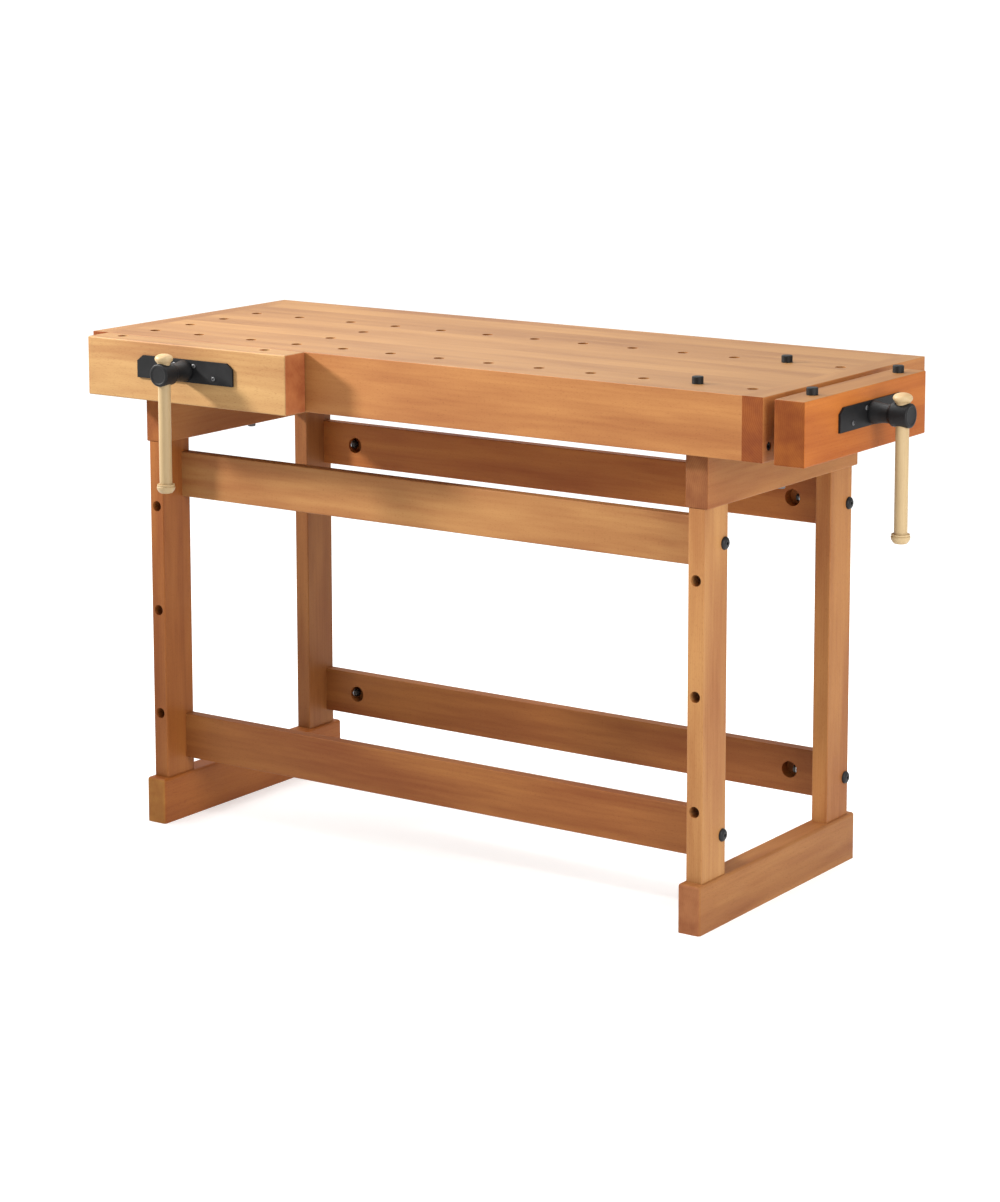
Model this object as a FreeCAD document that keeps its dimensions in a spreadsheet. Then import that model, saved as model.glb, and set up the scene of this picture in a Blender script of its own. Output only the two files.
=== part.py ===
import FreeCAD, Part
import os
import re
import Sketcher
from FreeCAD import Rotation, Vector

# Woodworking bench with a front vise, an end vise and four bench dogs.
# Bench coordinates: x runs right from the left end of the top, y runs back from the top's front
# face, z runs up from the floor. The document's origin is below the middle of the whole bench.

doc = FreeCAD.newDocument("WorkBench")

# Driving dimensions in millimetres.
sizes = {
    # the top
    "bench_height": 900, "top_length": 1395, "top_depth": 550, "panel_thick": 28,
    "apron_height": 105, "apron_thick": 40, "cap_thick": 38, "batten_thick": 24,
    # edges of the timber
    "timber_ease": 1.5, "jaw_ease": 2.5, "foot_ease": 5, "leg_ease": 2,
    # dog holes
    "dog_hole_dia": 19, "dog_end_inset": 58, "dog_pitch": 102.5, "dog_wide_pitch": 120,
    "dog_front_inset": 68, "dog_row_pitch": 96.5, "dog_fit": 0.05,
    # bench dogs
    "dog_length": 75, "dog_proud": 12, "dog_chamfer": 1, "spring_slot_width": 8,
    "spring_slot_depth": 3, "spring_slot_drop": 22, "spring_slot_length": 46, "spring_thick": 1,
    "spring_width": 6, "spring_length": 42,
    # the base
    "base_left": 105, "base_right": 122, "leg_thick": 30, "leg_depth": 75, "leg_inset": 28,
    "peg_first": 202, "peg_pitch": 192,
    "foot_thick": 42, "foot_height": 83, "foot_overhang": 16,
    "bearer_thick": 42, "bearer_height": 91, "bearer_overhang": 9,
    "tenon_thick": 14, "tenon_depth": 45, "tenon_length": 40,
    # stretchers
    "stretcher_thick": 22, "stretcher_height": 82,
    "lower_stretcher": 110, "upper_stretcher_drop": 24,
    "access_dia": 30, "access_inset": 75, "access_skin": 2.5,
    # fixings of the base
    "bolt_dia": 8, "bolt_hole_dia": 9, "bolt_length": 102, "bolt_head_dia": 22, "bolt_head_height": 6,
    "bolt_head_round": 4.5, "washer_dia": 16, "washer_thick": 1.6, "nut_flats": 13, "nut_height": 6.5,
    "washer_seat_gap": 0.2, "dowel_dia": 8, "dowel_length": 40, "dowel_in_leg": 15,
    "dowel_spacing": 50, "dowel_chamfer": 1,
    "bearer_bolt_inset": 300, "bearer_bolt_reach": 38, "bearer_washer_dia": 24,
    "bearer_dowel_inset": 130, "bearer_dowel_up": 20,
    # fixings of the end caps
    "cap_bolt_drop": 80, "cap_bolt_length": 75, "cap_head_dia": 13, "cap_head_height": 8,
    "cap_counterbore_dia": 15, "cap_counterbore_depth": 9, "cap_socket": 6, "cap_socket_depth": 4,
    "cross_nut_dia": 12, "cross_nut_length": 24, "cross_nut_inset": 35,
    # jaws
    "jaw_thick": 55, "front_jaw_left": 37, "front_jaw_length": 450, "front_vise_centre": 264.5,
    "end_jaw_front": -4, "end_jaw_length": 408, "end_vise_centre": 212, "end_gap": 22,
    "jaw_rest_gap": 0.3, "jaw_dog_setback": 35,
    # vise hardware, the same for both vises
    "vise_drop": 44, "rod_offset": 95, "rod_dia": 18, "rod_length": 300, "rod_fit": 0.05,
    "rod_clearance": 1, "rod_chamfer": 1.5, "screw_dia": 22, "screw_clearance": 1, "screw_chamfer": 1.5,
    "journal_dia": 18, "journal_fit": 0.08, "journal_in_hub": 28, "nut_fit": 0.08,
    "plate_length": 216, "plate_height": 40, "plate_thick": 4, "plate_corner": 13,
    "plate_corner_drop": 10, "collar_dia": 30, "collar_thick": 8, "collar_gap": 0.3,
    "collar_recess_dia": 34, "collar_recess_depth": 13,
    "plate_screw_dia": 4.5, "plate_screw_length": 32, "plate_screw_head_dia": 8,
    "plate_screw_head_height": 2, "plate_screw_near": 22, "plate_screw_near_up": 10,
    "plate_screw_far": 66, "plate_screw_far_down": 9,
    "bracket_thick": 6, "bracket_above": 14.5, "bracket_below": 29, "rod_boss_dia": 25,
    "rod_boss_length": 18, "nut_boss_dia": 29, "nut_boss_length": 30,
    "bracket_screw_dia": 5, "bracket_screw_length": 24, "bracket_head_dia": 10,
    "bracket_head_height": 3, "bracket_screw_near": 32, "bracket_screw_far": 64,
    "bracket_screw_down": 8,
    "hub_gap": 0.3, "hub_length": 69, "hub_base_dia": 38, "hub_base_thick": 4, "hub_neck_dia": 31,
    "hub_cone_end": 20, "hub_barrel_start": 36, "hub_barrel_dia": 40, "hub_shoulder": 3,
    "hub_round": 3, "hub_dish_dia": 28, "hub_dish_depth": 1.5, "bar_from_end": 16,
    # handle bars
    "bar_dia": 22, "bar_fit": 0.08, "bar_span": 213, "knob_dia": 32, "knob_height": 16,
    "knob_round": 7, "bar_tenon_dia": 12, "bar_tenon_length": 10, "knob_rest_gap": 0.3,
}
front_columns = 2       # dog hole columns left of the front vise's screw
rear_columns = 11       # dog hole columns right of it
row_count = 4           # rows at the two columns that cross the top; others have the outer two

sheet = doc.addObject("Spreadsheet::Sheet", "Sizes")
for line, (alias, number) in enumerate(sizes.items(), start=1):
    sheet.set(f"A{line}", alias)
    sheet.set(f"B{line}", str(number))
    sheet.setAlias(f"B{line}", alias)
doc.recompute()

alias_words = re.compile(r"\b(" + "|".join(sorted(sizes, key=len, reverse=True)) + r")\b")
parts = {}              # node name: the document object that is written under it


def formula(text):
    """Turns words of the sheet into references that a property can be bound to."""
    return alias_words.sub(r"Sizes.\1", str(text))


def size_of(alias):
    return float(sheet.get(alias))


# The whole bench reaches from the top's left end to the end hub, and from the front hub to the
# top's back face, so its middle is half way along each.
hub_reach = "jaw_thick + plate_thick + hub_gap + hub_length"
middle_x = f"(top_length + end_gap + {hub_reach}) / 2"
middle_y = f"(top_depth - jaw_rest_gap - ({hub_reach})) / 2"

turns = {
    "x": Rotation(Vector(0, 1, 0), 90), "-x": Rotation(Vector(0, 1, 0), -90),
    "y": Rotation(Vector(1, 0, 0), -90), "-y": Rotation(Vector(1, 0, 0), 90),
    "z": Rotation(), "-z": Rotation(Vector(1, 0, 0), 180),
}


def place(item, spot, axis="z"):
    """Puts an object's own origin at a spot in bench coordinates, its own z along the axis."""
    item.Placement.Rotation = turns[axis]
    x, y, z = spot
    item.setExpression("Placement.Base.x", formula(f"({x}) - {middle_x}"))
    item.setExpression("Placement.Base.y", formula(f"({y}) - {middle_y}"))
    item.setExpression("Placement.Base.z", formula(z))
    return item


def block(name, corner, extent):
    box = doc.addObject("Part::Box", name)
    for side, text in zip(("Length", "Width", "Height"), extent):
        box.setExpression(side, formula(text))
    return place(box, corner)


def round_bar(name, start, axis, diameter, length):
    bar = doc.addObject("Part::Cylinder", name)
    bar.setExpression("Radius", formula(f"({diameter}) / 2"))
    bar.setExpression("Height", formula(length))
    return place(bar, start, axis)


def gathered(name, items):
    group = doc.addObject("Part::Compound", name)
    group.Links = items
    return group


def joined(name, items):
    whole = doc.addObject("Part::MultiFuse", name)
    whole.Shapes = items
    whole.Refine = True
    return whole


def cut(name, base, tools):
    result = doc.addObject("Part::Cut", name)
    result.Base = base
    result.Tool = tools[0] if len(tools) == 1 else gathered(name + "_tools", tools)
    return result


def eased(name, box, radius_alias, wanted):
    """Rounds the edges of a box that wanted accepts: it is given the edge's direction and
    where the edge lies, as three fractions of the box from 0 to 1."""
    doc.recompute()
    limits = box.Shape.BoundBox
    low = Vector(limits.XMin, limits.YMin, limits.ZMin)
    span = Vector(limits.XLength, limits.YLength, limits.ZLength)
    radius = size_of(radius_alias)
    chosen = []
    for number, edge in enumerate(box.Shape.Edges, start=1):
        along = edge.tangentAt(edge.FirstParameter)
        direction = max(("x", abs(along.x)), ("y", abs(along.y)), ("z", abs(along.z)),
                        key=lambda pair: pair[1])[0]
        middle = edge.CenterOfMass - low
        where = (middle.x / span.x, middle.y / span.y, middle.z / span.z)
        if wanted(direction, where):
            chosen.append((number, radius, radius))
    rounded = doc.addObject("Part::Fillet", name)
    rounded.Base = box
    rounded.Edges = chosen
    return rounded


def on_all_edges(direction, where):
    return True


def sketch_on(body, role, name):
    plane = next(item for item in body.Origin.OriginFeatures if item.Role == role)
    sketch = body.newObject("Sketcher::SketchObject", name)
    sketch.AttachmentSupport = (plane, [""])
    sketch.MapMode = "FlatFace"
    return sketch


def outline(sketch, corners):
    """Draws a closed outline whose corners are bound to formulas."""
    count = len(corners)
    for number in range(count):
        sketch.addGeometry(Part.LineSegment(Vector(number, 0, 0), Vector(number + 1, number * number, 0)))
    for number in range(count):
        sketch.addConstraint(Sketcher.Constraint("Coincident", number, 2, (number + 1) % count, 1))
    for number, (across, up) in enumerate(corners):
        for kind, text in (("DistanceX", across), ("DistanceY", up)):
            index = sketch.addConstraint(Sketcher.Constraint(kind, -1, 1, number, 1, 1.0))
            sketch.setExpression(f"Constraints[{index}]", formula(text))


def turned(name, corners, spot, axis, rounded=()):
    """A body turned about its own z. corners are (radius, height) formulas; rounded lists
    (corner number, alias of the fillet's radius)."""
    body = doc.addObject("PartDesign::Body", name)
    profile = sketch_on(body, "XZ_Plane", name + "_profile")
    outline(profile, corners)
    spin = body.newObject("PartDesign::Revolution", name + "_turning")
    spin.Profile = profile
    spin.ReferenceAxis = (profile, ["V_Axis"])
    spin.Angle = 360
    doc.recompute()
    by_radius = {}
    for corner, alias in rounded:
        by_radius.setdefault(alias, []).append(profile.Geometry[corner].StartPoint)
    base = spin
    for alias, points in by_radius.items():
        edges = [f"Edge{number}" for number, edge in enumerate(base.Shape.Edges, start=1)
                 for point in points if runs_round(edge, point)]
        fillet = body.newObject("PartDesign::Fillet", f"{name}_{alias}")
        fillet.Base = (base, edges)
        fillet.setExpression("Radius", formula(alias))
        base = fillet
        doc.recompute()
    return place(body, spot, axis)


def runs_round(edge, point):
    curve = edge.Curve
    return (isinstance(curve, Part.Circle) and abs(curve.Radius - point.x) < 1e-4
            and abs(curve.Center.z - point.y) < 1e-4)


def keep(node, item):
    item.Label = node
    parts[node] = item
    return item


# ---------------------------------------------------------------- places that pieces share
top_under = "bench_height - apron_height"
panel_under = "bench_height - panel_thick"
vise_height = "bench_height - vise_drop"
left_leg = "base_left"
right_leg = "top_length - base_right - leg_thick"
leg_left_of = {"left": left_leg, "right": right_leg}
leg_front_of = {"front": "leg_inset",
                "back": "top_depth - leg_inset - leg_depth"}
trestle_middle = {side: f"{leg_left_of[side]} + leg_thick / 2" for side in ("left", "right")}
bearer_under = f"{top_under} - bearer_height"
stretcher_front_in_leg = "leg_depth - stretcher_thick"
bolt_in_leg = "leg_depth - stretcher_thick / 2"
stretcher_low = {"lower": "lower_stretcher",
                 "upper": f"{bearer_under} - upper_stretcher_drop - stretcher_height"}
stretcher_left = f"{left_leg} + leg_thick"
stretcher_length = f"({right_leg}) - ({left_leg}) - leg_thick"
front_rods = ["front_vise_centre - rod_offset", "front_vise_centre + rod_offset"]
end_rods = ["end_vise_centre - rod_offset", "end_vise_centre + rod_offset"]
front_jaw_face = "-jaw_rest_gap - jaw_thick"                # the front jaw's outer face
end_jaw_face = "top_length + end_gap + jaw_thick"           # the end jaw's outer face

# Dog hole columns are counted from the right end; the pitch is wider over the front vise's screw.
dog_columns = [f"top_length - dog_end_inset - {step} * dog_pitch" for step in range(rear_columns)]
dog_columns += [f"{dog_columns[-1]} - dog_wide_pitch - {step} * dog_pitch"
                for step in range(front_columns)]
dog_rows = [f"dog_front_inset + {step} * dog_row_pitch" for step in range(row_count)]
left_crossing = dog_columns[-1]
right_crossing = dog_columns[-front_columns - 2]
dog_column = dog_columns[1]                                 # the column that holds the two top dogs


def top_dog_holes():
    for column in dog_columns:
        crossing = column in (left_crossing, right_crossing)
        for row in dog_rows if crossing else (dog_rows[0], dog_rows[-1]):
            yield column, row


def vise_bores(name, axis, spots, screw_spot, start, length):
    """Clearance bores for two guide rods and the lead screw through a piece of timber."""
    tools = []
    for number, spot in enumerate(spots, start=1):
        tools.append(round_bar(f"{name}_rod_bore_{number}", start(spot), axis,
                               "rod_dia + 2 * rod_clearance", length))
    tools.append(round_bar(f"{name}_screw_bore", start(screw_spot), axis,
                           "screw_dia + 2 * screw_clearance", length))
    return tools


# ---------------------------------------------------------------- the top
def build_panel():
    blank = block("top_panel_blank", ("cap_thick", "apron_thick", panel_under),
                  ("top_length - 2 * cap_thick", "top_depth - 2 * apron_thick", "panel_thick"))
    holes = [round_bar(f"top_dog_hole_{number}", (column, row, panel_under), "z",
                       "dog_hole_dia", "panel_thick")
             for number, (column, row) in enumerate(top_dog_holes(), start=1)]
    keep("top_panel", cut("top_panel", blank, holes))


cap_seats = {"left": ("cap_counterbore_depth", "x"),
             "right": ("top_length - cap_counterbore_depth", "-x")}
apron_middle = {"front": "apron_thick / 2", "back": "top_depth - apron_thick / 2"}
cap_bolt_height = "bench_height - cap_bolt_drop"


def cross_nut_x(side):
    reach = "cap_thick + cross_nut_inset"
    return reach if side == "left" else f"top_length - ({reach})"


def build_apron(row, front_face, open_face, axis):
    """An apron between the end caps, bored at each end for a cap bolt and its cross nut.
    The cross nuts go in from the apron's inner face."""
    name = row + "_apron"
    blank = block(name + "_blank", ("cap_thick", front_face, top_under),
                  ("top_length - 2 * cap_thick", "apron_thick", "apron_height"))
    outer = 0.0 if row == "front" else 1.0
    shaped = eased(name + "_eased", blank, "timber_ease",
                   lambda direction, where: direction == "x" and abs(where[1] - outer) < 0.1)
    tools = []
    for side in ("left", "right"):
        start = "cap_thick" if side == "left" else "top_length - cap_thick"
        tools.append(joined(f"{name}_{side}_bore", [
            round_bar(f"{name}_{side}_bolt_bore", (start, apron_middle[row], cap_bolt_height),
                      cap_seats[side][1], "bolt_hole_dia", "cap_bolt_length"),
            round_bar(f"{name}_{side}_nut_bore", (cross_nut_x(side), open_face, cap_bolt_height),
                      axis, "cross_nut_dia", "apron_thick / 2 + cross_nut_length / 2")]))
    if row == "front":
        tools += vise_bores(name, "y", front_rods, "front_vise_centre",
                            lambda x: (x, "0", vise_height), "apron_thick")
    keep(name, cut(name, shaped, tools))


def build_cap(side):
    name = "end_cap_" + side
    left = "0" if side == "left" else "top_length - cap_thick"
    blank = block(name + "_blank", (left, "0", top_under), ("cap_thick", "top_depth", "apron_height"))
    outer = 0.0 if side == "left" else 1.0
    shaped = eased(name + "_eased", blank, "timber_ease",
                   lambda direction, where: abs(where[0] - outer) < 0.1
                   or direction == "x" and where[2] < 0.1)
    seat, axis = cap_seats[side]
    outer_face = "0" if side == "left" else "top_length"
    tools = []
    for row in ("front", "back"):
        tools.append(joined(f"{name}_{row}_bore", [
            round_bar(f"{name}_{row}_counterbore", (outer_face, apron_middle[row], cap_bolt_height),
                      axis, "cap_counterbore_dia", "cap_counterbore_depth"),
            round_bar(f"{name}_{row}_bolt_bore", (seat, apron_middle[row], cap_bolt_height),
                      axis, "bolt_hole_dia", "cap_thick - cap_counterbore_depth")]))
    if side == "right":
        tools += vise_bores(name, "x", end_rods, "end_vise_centre",
                            lambda y: (left, y, vise_height), "cap_thick")
    keep(name, cut(name, shaped, tools))


def build_cap_fixings():
    bolts, nuts = [], []
    for side in ("left", "right"):
        seat, axis = cap_seats[side]
        for row in ("front", "back"):
            name = f"cap_bolt_{side}_{row}"
            spot = (seat, apron_middle[row], cap_bolt_height)
            bolts.append(turned(name, [
                ("0", "-cap_head_height + cap_socket_depth"),
                ("cap_socket / 2", "-cap_head_height + cap_socket_depth"),
                ("cap_socket / 2", "-cap_head_height"), ("cap_head_dia / 2", "-cap_head_height"),
                ("cap_head_dia / 2", "0"), ("bolt_dia / 2", "0"),
                ("bolt_dia / 2", "cap_bolt_length"), ("0", "cap_bolt_length")], spot, axis))
            back = f"{apron_middle[row]} - cross_nut_length / 2"
            barrel = round_bar(f"cross_nut_blank_{side}_{row}",
                               (cross_nut_x(side), back, cap_bolt_height), "y",
                               "cross_nut_dia", "cross_nut_length")
            hole = round_bar(f"cross_nut_hole_{side}_{row}",
                             (f"{cross_nut_x(side)} - cross_nut_dia", apron_middle[row],
                              cap_bolt_height), "x", "bolt_dia + 2 * nut_fit", "2 * cross_nut_dia")
            nuts.append(cut(f"cross_nut_{side}_{row}", barrel, [hole]))
    keep("cap_bolts", gathered("cap_bolts", bolts))
    keep("cap_cross_nuts", gathered("cap_cross_nuts", nuts))


def build_batten(side):
    name = "cross_batten_" + side
    left = f"{trestle_middle[side]} - batten_thick / 2"
    blank = block(name + "_blank", (left, "apron_thick", top_under),
                  ("batten_thick", "top_depth - 2 * apron_thick", "apron_height - panel_thick"))
    tools = [round_bar(f"{name}_bolt_bore", (trestle_middle[side], "bearer_bolt_inset", top_under),
                       "z", "bolt_hole_dia", "bearer_bolt_reach + bolt_dia / 2")]
    for row, inset in bearer_dowel_insets.items():
        tools.append(round_bar(f"{name}_{row}_dowel_bore", (trestle_middle[side], inset, top_under),
                               "z", "dowel_dia", "bearer_dowel_up"))
    if side == "right":
        tools += vise_bores(name, "x", end_rods, "end_vise_centre",
                            lambda y: (left, y, vise_height), "batten_thick")
    keep(name, cut(name, blank, tools))


# ---------------------------------------------------------------- the base
leg_peg_heights = [f"peg_first + {step} * peg_pitch" for step in range(3)]
bearer_dowel_insets = {"front": "bearer_dowel_inset", "back": "top_depth - bearer_dowel_inset"}
stretcher_rows = [(row, level) for row in ("front", "back") for level in ("upper", "lower")]


def bolt_height(level):
    return f"{stretcher_low[level]} + stretcher_height / 2"


def bolt_y(row):
    return f"{leg_front_of[row]} + {bolt_in_leg}"


def tenon(name, side, row, low):
    return block(name, (f"{trestle_middle[side]} - tenon_thick / 2",
                        f"{leg_front_of[row]} + (leg_depth - tenon_depth) / 2", low),
                 ("tenon_thick", "tenon_depth", "tenon_length"))


def dowel_heights(level):
    return [f"{bolt_height(level)} + {sign} * dowel_spacing / 2" for sign in (-1, 1)]


def build_leg(row, side):
    name = f"leg_{row}_{side}"
    shaft = block(name + "_shaft", (leg_left_of[side], leg_front_of[row], "foot_height"),
                  ("leg_thick", "leg_depth", f"{bearer_under} - foot_height"))
    shaped = eased(name + "_eased", shaft, "leg_ease", lambda direction, where: direction == "z")
    whole = joined(name + "_whole", [
        shaped, tenon(name + "_foot_tenon", side, row, "foot_height - tenon_length"),
        tenon(name + "_bearer_tenon", side, row, bearer_under)])
    outer = leg_left_of[side] if side == "left" else f"{right_leg} + leg_thick"
    inner = f"{left_leg} + leg_thick" if side == "left" else right_leg
    inward, outward = ("x", "-x") if side == "left" else ("-x", "x")
    tools = []
    for level in ("upper", "lower"):
        tools.append(round_bar(f"{name}_{level}_bolt_bore", (outer, bolt_y(row), bolt_height(level)),
                               inward, "bolt_hole_dia", "leg_thick"))
        for number, height in enumerate(dowel_heights(level), start=1):
            tools.append(round_bar(f"{name}_{level}_dowel_bore_{number}",
                                   (inner, bolt_y(row), height), outward,
                                   "dowel_dia", "dowel_in_leg"))
    if row == "front":
        for number, height in enumerate(leg_peg_heights, start=1):
            tools.append(round_bar(f"{name}_peg_hole_{number}",
                                   (trestle_middle[side], leg_front_of[row], height), "y",
                                   "dog_hole_dia", "leg_depth"))
    keep(name, cut(name, whole, tools))


def build_foot(side):
    name = "foot_" + side
    blank = block(name + "_blank", (f"{trestle_middle[side]} - foot_thick / 2",
                                    "leg_inset - foot_overhang", "0"),
                  ("foot_thick", "top_depth - 2 * leg_inset + 2 * foot_overhang", "foot_height"))
    shaped = eased(name + "_eased", blank, "foot_ease",
                   lambda direction, where: direction == "z" or where[2] > 0.9)
    mortises = [tenon(f"{name}_{row}_mortise", side, row, "foot_height - tenon_length")
                for row in ("front", "back")]
    keep(name, cut(name, shaped, mortises))


def build_bearer(side):
    name = "bearer_" + side
    blank = block(name + "_blank", (f"{trestle_middle[side]} - bearer_thick / 2", "leg_inset",
                                    bearer_under),
                  ("bearer_thick", "top_depth - 2 * leg_inset + bearer_overhang", "bearer_height"))
    shaped = eased(name + "_eased", blank, "leg_ease",
                   lambda direction, where: direction == "z" or where[2] < 0.1)
    tools = [tenon(f"{name}_{row}_mortise", side, row, bearer_under) for row in ("front", "back")]
    tools.append(round_bar(f"{name}_bolt_bore",
                           (trestle_middle[side], "bearer_bolt_inset", bearer_under), "z",
                           "bolt_hole_dia", "bearer_height"))
    for row, inset in bearer_dowel_insets.items():
        tools.append(round_bar(f"{name}_{row}_dowel_bore", (trestle_middle[side], inset, top_under),
                               "-z", "dowel_dia", "dowel_length - bearer_dowel_up"))
    keep(name, cut(name, shaped, tools))


def build_bearer_fixings():
    bolts, washers, dowels = [], [], []
    for side, middle in trestle_middle.items():
        washer = round_bar(f"bearer_washer_blank_{side}", (middle, "bearer_bolt_inset", bearer_under),
                           "-z", "bearer_washer_dia", "washer_thick")
        hole = round_bar(f"bearer_washer_hole_{side}", (middle, "bearer_bolt_inset", bearer_under),
                         "-z", "bolt_hole_dia", "washer_thick")
        washers.append(cut(f"bearer_washer_{side}", washer, [hole]))
        head = hexagon(f"bearer_bolt_head_{side}",
                       (middle, "bearer_bolt_inset", f"{bearer_under} - washer_thick"), "-z")
        shank = round_bar(f"bearer_bolt_shank_{side}",
                          (middle, "bearer_bolt_inset", f"{bearer_under} - washer_thick"), "z",
                          "bolt_dia", "washer_thick + bearer_height + bearer_bolt_reach")
        bolts.append(joined(f"bearer_bolt_{side}", [head, shank]))
        for row, inset in bearer_dowel_insets.items():
            dowels.append(dowel(f"bearer_dowel_{side}_{row}",
                                (middle, inset, f"{top_under} + bearer_dowel_up"), "-z"))
    keep("bearer_bolts", gathered("bearer_bolts", bolts))
    keep("bearer_washers", gathered("bearer_washers", washers))
    keep("bearer_dowels", gathered("bearer_dowels", dowels))


def hexagon(name, spot, axis):
    prism = doc.addObject("Part::Prism", name)
    prism.Polygon = 6
    prism.setExpression("Circumradius", formula("nut_flats / sqrt(3)"))
    prism.setExpression("Height", formula("nut_height"))
    return place(prism, spot, axis)


def dowel(name, spot, axis):
    return turned(name, [
        ("0", "0"), ("dowel_dia / 2 - dowel_chamfer", "0"), ("dowel_dia / 2", "dowel_chamfer"),
        ("dowel_dia / 2", "dowel_length - dowel_chamfer"),
        ("dowel_dia / 2 - dowel_chamfer", "dowel_length"), ("0", "dowel_length")], spot, axis)


def access_x(side):
    if side == "left":
        return f"{stretcher_left} + access_inset"
    return f"{right_leg} - access_inset"


def build_stretcher(row, level):
    name = f"stretcher_{row}_{level}"
    front = f"{leg_front_of[row]} + {stretcher_front_in_leg}"
    blank = block(name + "_blank", (stretcher_left, front, stretcher_low[level]),
                  (stretcher_length, "stretcher_thick", "stretcher_height"))
    shaped = eased(name + "_eased", blank, "leg_ease", lambda direction, where: direction == "x")
    back = f"{front} + stretcher_thick"
    # the access holes open towards the inside of the bench and leave the outer face whole
    opening, inside_out = (back, "-y") if row == "front" else (front, "y")
    tools = []
    for side in ("left", "right"):
        start = stretcher_left if side == "left" else right_leg
        inward = "x" if side == "left" else "-x"
        tools.append(joined(f"{name}_{side}_bore", [
            round_bar(f"{name}_{side}_access", (access_x(side), opening, bolt_height(level)),
                      inside_out, "access_dia", "stretcher_thick - access_skin"),
            round_bar(f"{name}_{side}_bolt_bore", (start, bolt_y(row), bolt_height(level)), inward,
                      "bolt_hole_dia", "access_inset")]))
        for number, height in enumerate(dowel_heights(level), start=1):
            tools.append(round_bar(f"{name}_{side}_dowel_bore_{number}",
                                   (start, bolt_y(row), height), inward, "dowel_dia",
                                   "dowel_length - dowel_in_leg"))
    keep(name, cut(name, shaped, tools))


def build_stretcher_fixings():
    """Bolts through the legs, each drawn up by a nut and washer in an access hole. The washer's
    rim bears on the round wall of the hole."""
    bolts, washers, nuts, dowels = [], [], [], []
    seat = "sqrt((access_dia / 2) ^ 2 - (washer_dia / 2) ^ 2) - washer_seat_gap"
    for row, level in stretcher_rows:
        for side in ("left", "right"):
            tag = f"{row}_{level}_{side}"
            leg_outer = left_leg if side == "left" else f"{right_leg} + leg_thick"
            inward, sign = ("x", 1) if side == "left" else ("-x", -1)
            y, z = bolt_y(row), bolt_height(level)
            bolts.append(turned("stretcher_bolt_" + tag, [
                ("0", "-bolt_head_height"), ("bolt_head_dia / 2", "-bolt_head_height"),
                ("bolt_head_dia / 2", "0"), ("bolt_dia / 2", "0"), ("bolt_dia / 2", "bolt_length"),
                ("0", "bolt_length")], (leg_outer, y, z), inward, [(1, "bolt_head_round")]))
            washer_x = f"{access_x(side)} - {sign} * ({seat})"
            blank = round_bar("stretcher_washer_blank_" + tag, (washer_x, y, z), inward,
                              "washer_dia", "washer_thick")
            hole = round_bar("stretcher_washer_hole_" + tag, (washer_x, y, z), inward,
                             "bolt_hole_dia", "washer_thick")
            washers.append(cut("stretcher_washer_" + tag, blank, [hole]))
            nut_x = f"{washer_x} + {sign} * washer_thick"
            body = hexagon("stretcher_nut_blank_" + tag, (nut_x, y, z), inward)
            bore = round_bar("stretcher_nut_bore_" + tag, (nut_x, y, z), inward,
                             "bolt_dia + 2 * nut_fit", "nut_height")
            nuts.append(cut("stretcher_nut_" + tag, body, [bore]))
            leg_inner = stretcher_left if side == "left" else right_leg
            for number, height in enumerate(dowel_heights(level), start=1):
                dowels.append(dowel(f"stretcher_dowel_{tag}_{number}",
                                    (f"{leg_inner} - {sign} * dowel_in_leg", y, height), inward))
    keep("stretcher_bolts", gathered("stretcher_bolts", bolts))
    keep("stretcher_washers", gathered("stretcher_washers", washers))
    keep("stretcher_nuts", gathered("stretcher_nuts", nuts))
    keep("stretcher_dowels", gathered("stretcher_dowels", dowels))


# ---------------------------------------------------------------- the vises
# Each vise has its own line: out is the way that the jaw opens, and spot turns a distance
# along the plate, a distance out from the jaw's outer face and a height into a place.
def front_spot(along, outward, height=vise_height):
    return f"front_vise_centre + {along}", f"{front_jaw_face} - ({outward})", height


def end_spot(along, outward, height=vise_height):
    return f"{end_jaw_face} + {outward}", f"end_vise_centre + {along}", height


vises = {
    "front": {"spot": front_spot, "out": "-y", "in": "y", "rods": ("left", "right"),
              "plate_turn": Rotation(Vector(1, 0, 0), 90)},
    "end": {"spot": end_spot, "out": "x", "in": "-x", "rods": ("front", "back"),
            "plate_turn": Rotation(Vector(1, 1, 1), 120)},
}
plate_screws = [("-plate_screw_far", "-plate_screw_far_down"),
                ("-plate_screw_near", "plate_screw_near_up"),
                ("plate_screw_near", "plate_screw_near_up"),
                ("plate_screw_far", "-plate_screw_far_down")]
bracket_screws = ["-bracket_screw_far", "-bracket_screw_near", "bracket_screw_near",
                  "bracket_screw_far"]


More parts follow.
